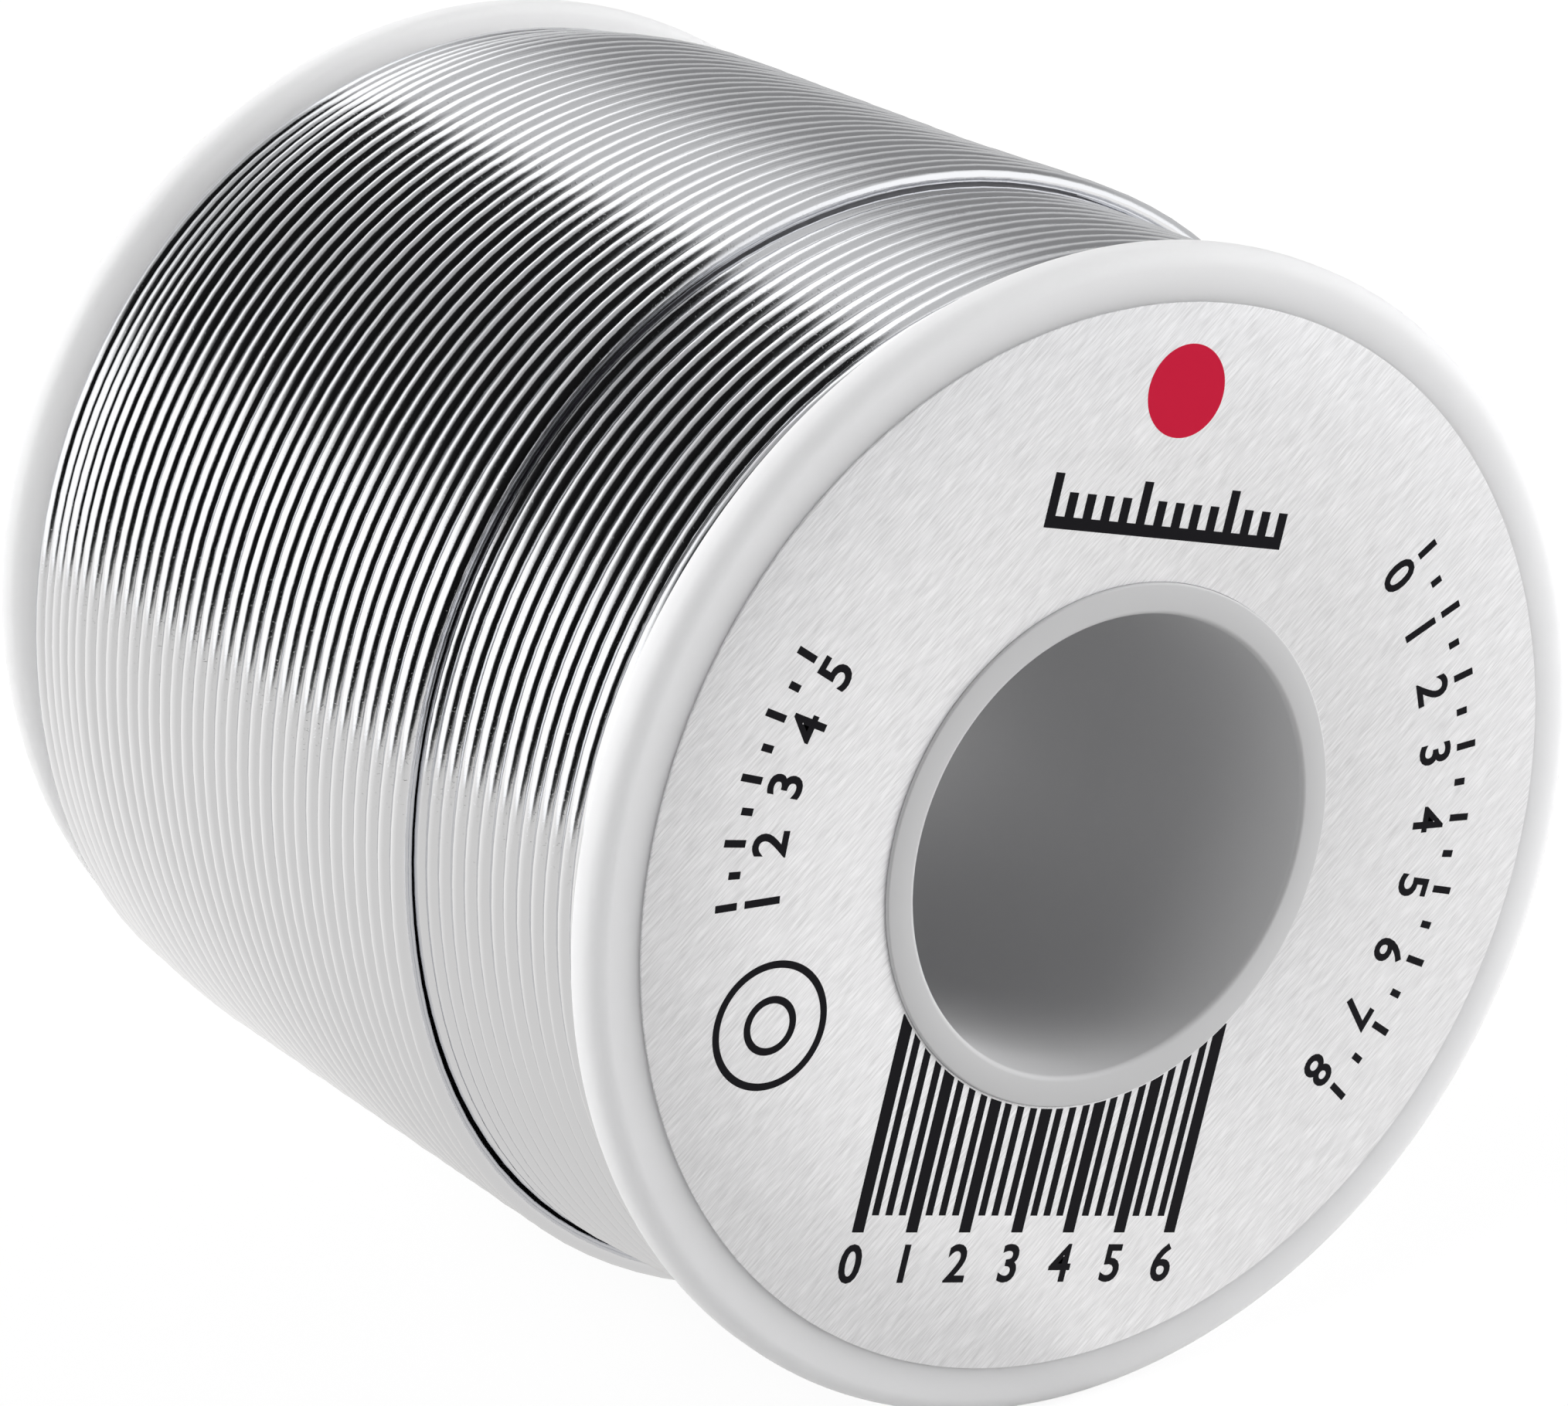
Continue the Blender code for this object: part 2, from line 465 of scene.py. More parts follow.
@dataclass(frozen=True)
class PrintingInk:
    """Screen-printed ink on foil: an even satin film that hardly shines, so that the print stays deep."""

    ink: Ink
    roughness: tuple[float, float] = (0.5, 0.62)
    shine: float = 0.1  # specular level, which is 0.5 for a plain film
    film_mm: float = 0.25  # the mesh of the screen, just felt in the gloss

    def material(self) -> bpy.types.Material:
        """Build the ink's material.

        Returns:
            The material.
        """
        material, tree, shader = new_material(f"screen_ink_{self.ink.name.lower()}")
        place = add_node(tree, "TexCoord").outputs["Object"]
        noise = add_node(tree, "TexNoise", {"Vector": place, "Scale": 1 / (self.film_mm * MM), "Detail": 2.0})
        gloss = add_node(
            tree, "MapRange", {"Value": noise.outputs["Fac"], 3: self.roughness[0], 4: self.roughness[1]}
        )
        tree.links.new(gloss.outputs[0], shader.inputs["Roughness"])
        shader.inputs["Base Color"].default_value = linear(self.ink.value)
        shader.inputs["Specular IOR Level"].default_value = self.shine
        return material


# ---- Turned pieces -------------------------------------------------------------------------


@dataclass(frozen=True)
class Corner:
    """One corner of a turned profile, with the rounding that it gets and the facets across it."""

    radius: float
    y: float
    rounding: float = 0.0
    steps: int = 8


@dataclass
class Turning:
    """A closed ring round the spool's axis, drawn out of a circle corner by corner."""

    name: str
    corners: list[Corner]
    smooth_deg: float = 35.0

    def build(self) -> bpy.types.Object:
        """Shape the ring.

        Returns:
            The finished mesh object, at the origin.
        """
        deselect_all()
        first = self.corners[0]
        bpy.ops.mesh.primitive_circle_add(
            vertices=ROUND_STEPS,
            radius=first.radius,
            location=(0.0, first.y, 0.0),
            rotation=(math.pi / 2, 0.0, 0.0),
        )
        ring = bpy.context.view_layer.objects.active
        ring.name = self.name
        ring.data.name = self.name
        settle(ring)
        bpy.ops.object.mode_set(mode="EDIT")
        bpy.ops.mesh.select_all(action="SELECT")
        for before, corner in zip(self.corners, self.corners[1:]):
            move = (0.0, corner.y - before.y, 0.0)
            bpy.ops.mesh.extrude_region_move(TRANSFORM_OT_translate={"value": move})
            share = corner.radius / before.radius
            bpy.ops.transform.resize(value=(share, 1.0, share), center_override=(0.0, corner.y, 0.0))
        self._close(ring)
        for corner in self.corners:
            if corner.rounding > 0:
                self._round(ring, corner)
        bpy.ops.mesh.select_all(action="SELECT")
        bpy.ops.mesh.normals_make_consistent(inside=False)
        bpy.ops.object.mode_set(mode="OBJECT")
        bpy.ops.object.shade_smooth_by_angle(angle=math.radians(self.smooth_deg))
        return ring

    def _close(self, ring: bpy.types.Object) -> None:
        """Bridge the last loop to the first one.

        Args:
            ring: The ring in edit mode, still open between the two.
        """
        pick(ring, "edges", lambda edge: edge.is_boundary)
        bpy.ops.mesh.bridge_edge_loops()

    def _round(self, ring: bpy.types.Object, corner: Corner) -> None:
        """Bevel the loop of edges that lies on a corner.

        Args:
            ring: The ring in edit mode.
            corner: The corner and its rounding.
        """
        near = 0.001 * MM

        def on_corner(edge: bmesh.types.BMEdge) -> bool:
            """Say whether both ends of an edge lie on the corner."""
            return all(
                abs(v.co.y - corner.y) < near and abs(math.hypot(v.co.x, v.co.z) - corner.radius) < near
                for v in edge.verts
            )

        pick(ring, "edges", on_corner)
        bpy.ops.mesh.bevel(
            offset=corner.rounding, offset_type="OFFSET", segments=corner.steps, affect="EDGES"
        )


# ---- Plastic body --------------------------------------------------------------------------


@dataclass
class SpoolBody:
    """The two moulded flanges and the barrel that joins them."""

    rim_rounding: float = 0.85 * MM
    inner_rounding: float = 0.5 * MM
    mouth_rounding: float = 0.25 * MM
    hub_ring_radius: float = 12.13 * MM  # a low ring round the bore, which the label's hole fits round
    hub_ring_height: float = 0.25 * MM
    hub_ring_rounding: float = 0.1 * MM
    flange_thickness: float = 2.0 * MM
    collar_length: float = 5.0 * MM
    collar_wall: float = 0.85 * MM
    barrel_wall: float = 2.0 * MM
    gap: float = 0.0  # the collars are welded into the barrel, with no seam left in the bore
    front_light_depth_mm: float = 3.5  # the foil shuts most light out of this flange
    rear_light_depth_mm: float = 10.0  # bare on both sides, so that light comes right through

    def __post_init__(self) -> None:
        """Read the sizes that the frame sets."""
        low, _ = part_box("front_flange")
        self.face = -low.y
        self.radius = radius_of("front_flange")
        self.bore = radius_of("hub_barrel") - self.barrel_wall
        self.inner_face = self.face - self.flange_thickness

    def build(self) -> None:
        """Build and dress both flanges and the barrel."""
        for name, side, depth in (
            ("front_flange", -1, self.front_light_depth_mm),
            ("rear_flange", 1, self.rear_light_depth_mm),
        ):
            flange = Turning("moulded_" + name, self._flange_corners(side)).build()
            plastic = MouldedPolystyrene(name + "_polystyrene", light_depth_mm=depth)
            dress(flange, plastic.material(), "spool_plastic", name)
        barrel = Turning("winding_barrel", self._barrel_corners()).build()
        dress(barrel, MouldedPolystyrene("barrel_polystyrene").material(), "spool_plastic", "hub_barrel")

    def _flange_corners(self, side: int) -> list[Corner]:
        """List a flange's corners from its mouth, over the rim, to the tip of its collar.

        Args:
            side: -1 for the front flange, 1 for the rear one.

        Returns:
            The corners of its profile.
        """
        collar = self.bore + self.collar_wall
        tip = self.inner_face - self.collar_length
        proud = self.face + self.hub_ring_height
        return [
            Corner(self.bore, side * proud, self.mouth_rounding, 5),
            Corner(self.hub_ring_radius, side * proud, self.hub_ring_rounding, 3),
            Corner(self.hub_ring_radius, side * self.face),
            Corner(self.radius, side * self.face, self.rim_rounding, 10),
            Corner(self.radius, side * self.inner_face, self.inner_rounding, 6),
            Corner(collar, side * self.inner_face),
            Corner(collar, side * tip),
            Corner(self.bore, side * tip),
        ]

    def _barrel_corners(self) -> list[Corner]:
        """List the barrel's corners: a tube, counterbored at both ends for the collars.

        Returns:
            The corners of its profile.
        """
        end = self.inner_face - self.gap
        seat = self.inner_face - self.collar_length - self.gap
        socket = self.bore + self.collar_wall + self.gap
        outside = self.bore + self.barrel_wall
        return [
            Corner(self.bore, -seat),
            Corner(socket, -seat),
            Corner(socket, -end),
            Corner(outside, -end),
            Corner(outside, end),
            Corner(socket, end),
            Corner(socket, seat),
            Corner(self.bore, seat),
        ]


# ---- Winding -------------------------------------------------------------------------------


@dataclass(frozen=True)
class Swell:
    """A place where the turns were wound a little slack and stand out, with smooth edges all round."""

    angle_deg: float  # middle, round the axis from +X towards +Z
    spread_deg: float
    height: float
    y_full: float  # full from here to the flange beyond
    y_end: float  # and gone here, on the way to the other flange

    def at(self, angle: np.ndarray, y: np.ndarray) -> np.ndarray:
        """Give the swell's height at places on the winding.

        Args:
            angle: Angles round the axis.
            y: Places along the axis.

        Returns:
            Heights over the even winding.
        """
        off = (np.degrees(angle) - self.angle_deg + 180) % 360 - 180
        share = np.clip((y - self.y_end) / (self.y_full - self.y_end), 0.0, 1.0)
        return self.height * np.exp(-((off / self.spread_deg) ** 2)) * share * share * (3 - 2 * share)


@dataclass
class Winding:
    """The wire that shows, as one unbroken helix: the top layer, the step and the layer below."""

    LAY = "wire_lay"  # attribute: metres along the wire, metres round it, a millimetre for each turn

    wire: float = 1.0 * MM
    pitch: float = 1.047 * MM
    steps_per_turn: int = 112
    sides: int = 14
    rim_drop: float = 0.15 * MM  # the even turns stay this far below the rim; only a swell passes it
    step_y: float = -10.75 * MM  # centre of the last turn of the top layer
    shoulder_width: float = 7.5 * MM  # over this width the top layer falls off to the rear flange
    shoulder_drop: float = 0.95 * MM
    shoulder_top_deg: float = 110.0  # where the shoulder is deepest, from +X towards +Z
    shoulder_least: float = 0.2  # share of it that is left on the opposite side
    barrel_gap: float = 0.3 * MM  # between each end of the frame's barrel and its flange
    climb_from_deg: float = 245.0  # where the last turn of the top layer starts to sink
    climb_deg: float = 170.0
    unevenness: float = 0.02 * MM
    core_gap: float = 0.1 * MM  # between the buried layers and what stands beside them
    core_rise: float = 0.2 * MM  # from the top of the buried layers to the middle of the wire on them
    low_layer_swell: float = 0.9  # how much of a swell the layer below takes
    swells: tuple[Swell, ...] = (
        Swell(-142.0, 28.0, 1.12 * MM, -10.0 * MM, -24.0 * MM),
        Swell(45.0, 25.0, 0.40 * MM, -9.5 * MM, 0.0 * MM),
    )

    def __post_init__(self) -> None:
        """Work out the lay of the wire between the flanges."""
        _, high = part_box("hub_barrel")
        self.half_width = high.y + self.barrel_gap
        self.top_radius = radius_of("front_flange") - self.rim_drop - self.wire / 2
        self.nest = math.sqrt(self.wire**2 - (self.pitch / 2) ** 2)  # a layer bedded in the one below
        self.first_y = self.half_width - self.wire / 2
        self.top_turns = round((self.first_y - self.step_y) / self.pitch)
        low_width = self.step_y - self.pitch / 2 + self.first_y
        self.low_turns = math.floor(low_width / self.pitch)
        self.turns = self.top_turns + 1 + self.low_turns

    def build(self) -> None:
        """Build and dress the wire and the layers under it."""
        wire = self._wire()
        dress(wire, DrawnSolder().material(), "solder_wire", "outer_wire_turns")
        core = Turning("inner_wire_layers", self._core_corners(), smooth_deg=60.0).build()
        # painted shade: the buried layers are darkened so that the gaps between the turns read dark
        dress(core, DullSolder().material(), "solder_wire", "buried_wire_layers")

    def _wire(self) -> bpy.types.Object:
        """Sweep the wire's section along a plain helix, then lay its turns as they lie on the spool.

        Returns:
            The finished mesh object, at the origin.
        """
        deselect_all()
        bpy.ops.mesh.primitive_circle_add(
            vertices=self.sides, radius=self.wire / 2, location=(self.top_radius, self.first_y, 0.0)
        )
        wire = bpy.context.view_layer.objects.active
        wire.name = wire.data.name = "wound_wire"
        settle(wire)
        sweep = wire.modifiers.new("sweep", "SCREW")
        sweep.axis = "Y"
        sweep.angle = -2 * math.pi * self.turns
        sweep.screw_offset = -self.pitch * self.turns
        sweep.steps = sweep.render_steps = self.steps_per_turn * self.turns
        sweep.use_smooth_shade = True
        bpy.ops.object.modifier_apply(modifier=sweep.name)
        self._lay_turns(wire)
        self._cut_ends(wire)
        return wire

    def _lay_turns(self, wire: bpy.types.Object) -> None:
        """Move each ring of the swept wire to its place, and note its lay for the material.

        Args:
            wire: The wire, swept along a plain helix.
        """
        mesh = wire.data
        flat = np.empty(len(mesh.vertices) * 3)
        mesh.vertices.foreach_get("co", flat)
        rings = flat.reshape(-1, self.sides, 3)
        centres = rings.mean(axis=1)
        turn = np.arange(len(rings)) / self.steps_per_turn
        angle = np.arctan2(centres[:, 2], centres[:, 0])
        y = self._axial(turn, angle)
        radius = self._radial(turn, angle, y)
        laid = np.column_stack((radius * np.cos(angle), y, radius * np.sin(angle)))
        rings += (laid - centres)[:, None, :]
        mesh.vertices.foreach_set("co", rings.ravel())
        along = 2 * math.pi * self.top_radius * turn
        round_it = np.arange(self.sides) * (math.pi * self.wire / self.sides)
        lay = np.empty_like(rings)
        lay[:, :, 0] = along[:, None]
        lay[:, :, 1] = round_it[None, :]
        lay[:, :, 2] = turn[:, None] * MM
        attribute = mesh.attributes.new(self.LAY, "FLOAT_VECTOR", "POINT")
        attribute.data.foreach_set("vector", lay.ravel())
        mesh.update()

    def _sink(self, turn: np.ndarray) -> np.ndarray:
        """Say how far the wire has sunk from the top layer to the one below.

        Args:
            turn: Turn number of each ring of the sweep.

        Returns:
            0 on the top layer, 1 on the layer below and a smooth run between them.
        """
        start = self.top_turns + self.climb_from_deg / 360 - 1
        share = np.clip((turn - start) / (self.climb_deg / 360), 0.0, 1.0)
        return share * share * (3 - 2 * share)

    def _axial(self, turn: np.ndarray, angle: np.ndarray) -> np.ndarray:
        """Give the wire's place along the axis.

        Args:
            turn: Turn number of each ring of the sweep.
            angle: Its angle round the axis.

        Returns:
            Y of each ring's centre.
        """
        # The sinking turn moves on by half a pitch only: it beds in beside the turn above it.
        y = self.first_y - self.pitch * turn + 0.5 * self.pitch * self._sink(turn)
        # Two waves that keep out of step with the turns, so that no two turns wander alike.
        wander = np.sin(2.3 * turn) + 0.6 * np.sin(5.1 * turn + 1.0 + angle)
        # They die away in the last turns, which lie against the flanges.
        inside = np.clip(turn * (self.turns - turn) / 8, 0.0, 1.0)
        return y + self.unevenness * wander * inside

    def _radial(self, turn: np.ndarray, angle: np.ndarray, y: np.ndarray) -> np.ndarray:
        """Give the wire's distance from the axis.

        Args:
            turn: Turn number of each ring of the sweep.
            angle: Its angle round the axis.
            y: Its place along the axis.

        Returns:
            Radius of each ring's centre.
        """
        share = np.clip((self.half_width - y) / self.shoulder_width, 0.0, 1.0)
        shoulder = self.shoulder_drop * (1 - share * share * (3 - 2 * share))
        # The shoulder is deepest over the top and fades towards the underside.
        half = (1 - self.shoulder_least) / 2
        shoulder *= 1 - half + half * np.cos(angle - math.radians(self.shoulder_top_deg))
        slack = sum(swell.at(angle, y) for swell in self.swells)
        slack *= 1 - (1 - self.low_layer_swell) * self._sink(turn)
        ripple = np.sin(3.7 * turn + 2 * angle) + 0.7 * np.sin(1.9 * turn + 5 * angle)
        radius = self.top_radius - shoulder - self.nest * self._sink(turn)
        return radius + slack + 0.5 * self.unevenness * ripple

    def _cut_ends(self, wire: bpy.types.Object) -> None:
        """Close both ends of the wire with a flat face.

        Args:
            wire: The wire, open at both ends.
        """
        deselect_all()
        wire.select_set(True)
        bpy.context.view_layer.objects.active = wire
        bpy.ops.object.mode_set(mode="EDIT")
        for rear in (True, False):
            pick(wire, "edges", lambda edge: edge.is_boundary and (edge.verts[0].co.y > 0) == rear)
            bpy.ops.mesh.edge_face_add()
        bpy.ops.mesh.select_all(action="SELECT")
        bpy.ops.mesh.normals_make_consistent(inside=False)
        bpy.ops.object.mode_set(mode="OBJECT")

    def _core_corners(self) -> list[Corner]:
        """List the corners of the ring of buried layers, which stays just under the turns that show.

        Returns:
            The corners of its profile.
        """
        inside = radius_of("hub_barrel") + self.core_gap
        end = self.half_width - self.core_gap
        high = self.top_radius - self.core_rise
        low = high - self.nest
        step = self.step_y - self.core_gap
        shoulder = self.half_width - self.shoulder_width
        return [
            Corner(inside, -end),
            Corner(low, -end),
            Corner(low, step),
            Corner(high, step),
            Corner(high, shoulder),
            Corner(high - self.shoulder_drop, end),
            Corner(inside, end),
        ]


# ---- Label ---------------------------------------------------------------------------------


@dataclass
class FoilLabel:
    """The round foil label and its plain print: rules, scales, numbers, a dot and rings."""

    thickness: float = 0.09 * MM
    edge_rounding: float = 0.04 * MM
    turn_deg: float = -15.5  # the label was stuck on a little turned
    glue: float = 0.01 * MM
    hole_inset: float = 0.55 * MM  # the hole is this much smaller than the barrel's outside
    ink_thickness: float = 0.012 * MM

    def __post_init__(self) -> None:
        """Read the label's size and the face that it is stuck on."""
        low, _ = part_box("front_flange")
        self.back = low.y - self.glue
        self.face = self.back - self.thickness
        self.radius = radius_of("front_label")
        self.hole = radius_of("hub_barrel") - self.hole_inset

    def build(self) -> None:
        """Build and dress the foil and its print."""
        corners = [
            Corner(self.hole, self.back),
            Corner(self.hole, self.face, self.edge_rounding, 2),
            Corner(self.radius, self.face, self.edge_rounding, 2),
            Corner(self.radius, self.back),
        ]
        foil = Turning("foil_label", corners).build()
        dress(foil, BrushedFoil().material(), "label_foil", "front_label")
        LabelPrint(self).build()


@dataclass
class LabelPrint:
    """The label's plain print, laid out flat (u right, v up, in millimetres) and then put on the foil."""

    label: FoilLabel
    line: float = 0.34  # width of a thin line
    digit_height: float = 1.75
    digit_share: float = 0.7  # height of a figure against the size of its font
    digit_boldness: float = 0.05  # added to each side of a stroke
    dot: tuple[float, float, float] = (-2.0, 20.6, 2.1)  # u, v and radius
    rings: tuple[float, float] = (-16.4, -8.7)
    ring_radii: tuple[float, ...] = (2.95, 1.35)
    rule: tuple[float, float, float] = (-1.3, 14.3, 13.0)  # u of its middle, v of its foot, length
    rule_line: float = 0.5
    rule_foot: float = 0.55
    rule_ticks: tuple[float, float] = (1.9, 1.1)  # long and short
    right_dial: tuple[float, float, int, int] = (46.0, -33.0, 8, 0)  # both angles, spaces, first number
    left_dial: tuple[float, float, int, int] = (190.0, 158.0, 4, 1)
    dial_radius: float = 18.5
    dial_gap: float = 1.4  # from the middles of the numbers to the ticks
    dial_ticks: tuple[float, float] = (1.1, 0.6)  # at the numbers and between them
    scale_width: float = 18.0
    scale_top: float = -8.0  # inside the label's hole, which cuts the bars
    scale_foot: float = -18.1
    scale_lift: float = 0.8  # the plain bars end this far above every fourth one
    scale_step: float = 0.75
    scale_lines: tuple[float, float] = (1.9, 1.15)  # of every fourth bar and the others, in thin lines
    number_gap: float = 0.7  # from the scale's foot to its numbers
    hole_margin: float = 0.1  # bare foil round the hole

    def build(self) -> None:
        """Build, place and dress the black and the red print."""
        black = self._rule() + self._dial(*self.right_dial) + self._dial(*self.left_dial)
        black += [self._ring(radius) for radius in self.ring_radii] + self._scale()
        for print_, ink in ((join(black, "label_print_black"), Ink.BLACK), (self._red_dot(), Ink.RED)):
            print_.data.name = print_.name
            self._put_on_label(print_)
            dress(print_, PrintingInk(ink).material(), "label_foil")

    def _bar(
        self, u: float, v: float, width: float, height: float, turn_deg: float = 0.0
    ) -> bpy.types.Object:
        """Print one bar.

        Args:
            u: Place of its middle to the right.
            v: Place of its middle upwards.
            width: Its width before it is turned.
            height: Its height before it is turned.
            turn_deg: How far it is turned, anticlockwise.

        Returns:
            The bar.
        """
        bpy.ops.mesh.primitive_cube_add(
            size=1.0, location=(u * MM, v * MM, 0.0), rotation=(0.0, 0.0, math.radians(turn_deg))
        )
        bar = bpy.context.view_layer.objects.active
        bar.scale = (width * MM, height * MM, self.label.ink_thickness)
        settle(bar)
        return bar

    def _number(self, value: int, u: float, v: float, turn_deg: float = 0.0) -> bpy.types.Object:
        """Print a plain number, centred on its place.

        Args:
            value: The number.
            u: Place to the right.
            v: Place upwards.
            turn_deg: How far it is turned, anticlockwise.

        Returns:
            The number as a mesh.
        """
        bpy.ops.object.text_add(location=(u * MM, v * MM, 0.0), rotation=(0.0, 0.0, math.radians(turn_deg)))
        number = bpy.context.view_layer.objects.active
        text = number.data
        text.body = str(value)
        text.size = self.digit_height / self.digit_share * MM
        text.align_x, text.align_y = "CENTER", "CENTER"
        text.extrude = self.label.ink_thickness / 2
        text.offset = self.digit_boldness * MM
        text.resolution_u = 4
        bpy.ops.object.convert(target="MESH")
        settle(number)
        return number

    def _ring(self, radius: float) -> bpy.types.Object:
        """Print a thin ring at the rings' place.

        Args:
            radius: Its outer radius in millimetres.

        Returns:
            The ring.
        """
        half = self.label.ink_thickness / 2
        inner, outer = (radius - self.line) * MM, radius * MM
        corners = [Corner(inner, -half), Corner(inner, half), Corner(outer, half), Corner(outer, -half)]
        ring = Turning("ring", corners).build()
        ring.rotation_euler.x = math.pi / 2
        ring.location = (self.rings[0] * MM, self.rings[1] * MM, 0.0)
        settle(ring)
        return ring

    def _red_dot(self) -> bpy.types.Object:
        """Print the red dot.

        Returns:
            The dot.
        """
        u, v, radius = self.dot
        bpy.ops.mesh.primitive_cylinder_add(
            vertices=PLAIN_STEPS,
            radius=radius * MM,
            depth=self.label.ink_thickness,
            location=(u * MM, v * MM, 0.0),
        )
        dot = bpy.context.view_layer.objects.active
        dot.name = "label_print_red"
        settle(dot)
        return dot

    def _rule(self) -> list[bpy.types.Object]:
        """Print a short ruler: a foot line, and a tick each millimetre with every fifth one longer.

        Returns:
            The foot line and the ticks, which stand on it.
        """
        middle, foot, length = self.rule
        bars = [self._bar(middle, foot, length + self.rule_line, self.rule_foot)]
        for i in range(round(length) + 1):
            tick = self.rule_ticks[0 if i % 5 == 0 else 1]
            v = foot + (self.rule_foot + tick) / 2
            bars.append(self._bar(middle - length / 2 + i, v, self.rule_line, tick))
        return bars

    def _dial(self, first_deg: float, last_deg: float, spaces: int, start: int) -> list[bpy.types.Object]:
        """Print part of a dial: numbers on an arc, with ticks outside them.

        Args:
            first_deg: Angle of the first number.
            last_deg: Angle of the last number.
            spaces: Number of spaces between the numbers.
            start: The first number.

        Returns:
            The numbers and ticks.
        """
        marks = []
        for i in range(2 * spaces + 1):
            angle = first_deg + (last_deg - first_deg) * i / (2 * spaces)
            way = Vector((math.cos(math.radians(angle)), math.sin(math.radians(angle))))
            tick = self.dial_ticks[i % 2]
            at = way * (self.dial_radius + self.dial_gap + tick / 2)
            marks.append(self._bar(at.x, at.y, self.line, tick, angle - 90))
            if i % 2 == 0:
                at = way * self.dial_radius
                marks.append(self._number(start + i // 2, at.x, at.y, angle - 90))
        return marks

    def _scale(self) -> list[bpy.types.Object]:
        """Print an evenly ruled scale from the label's hole down, with a number at every fourth bar.

        Returns:
            All the bars as one mesh, and the numbers.
        """
        bars, numbers = [], []
        count = round(self.scale_width / self.scale_step)
        for i in range(count + 1):
            u = (i - count / 2) * self.scale_step
            fourth = i % 4 == 0
            foot = self.scale_foot if fourth else self.scale_foot + self.scale_lift
            width = self.line * self.scale_lines[0 if fourth else 1]
            bars.append(self._bar(u, (foot + self.scale_top) / 2, width, self.scale_top - foot))
            if fourth:
                v = self.scale_foot - self.number_gap - self.digit_height / 2
                numbers.append(self._number(i // 4, u, v))
        scale = join(bars, "scale")
        bpy.ops.mesh.primitive_cylinder_add(
            vertices=ROUND_STEPS, radius=self.label.hole + self.hole_margin * MM, depth=1.0 * MM
        )
        hole = bpy.context.view_layer.objects.active
        cut = scale.modifiers.new("hole", "BOOLEAN")
        cut.operation = "DIFFERENCE"
        cut.object = hole
        deselect_all()
        bpy.context.view_layer.objects.active = scale
        bpy.ops.object.modifier_apply(modifier=cut.name)
        bpy.data.objects.remove(hole)
        return [scale] + numbers

    def _put_on_label(self, print_: bpy.types.Object) -> None:
        """Turn the flat print with the label, stand it up and put it on the foil's face.

        Args:
            print_: The joined print of one colour.
        """
        print_.rotation_euler = (math.pi / 2, math.radians(-self.label.turn_deg), 0.0)
        print_.location.y = self.label.face
        settle(print_)


# ---- Studio --------------------------------------------------------------------------------


@dataclass(frozen=True)
class Panel:
    """A bright or dark part of the studio, as metal on the table sees it.

    Angles are in degrees: azimuth from +Y towards +X, elevation above the table.
    """

    azimuth: tuple[float, float]
    elevation: tuple[float, float]
    level: float
    side_blur: float
    end_blur: float = 5.0


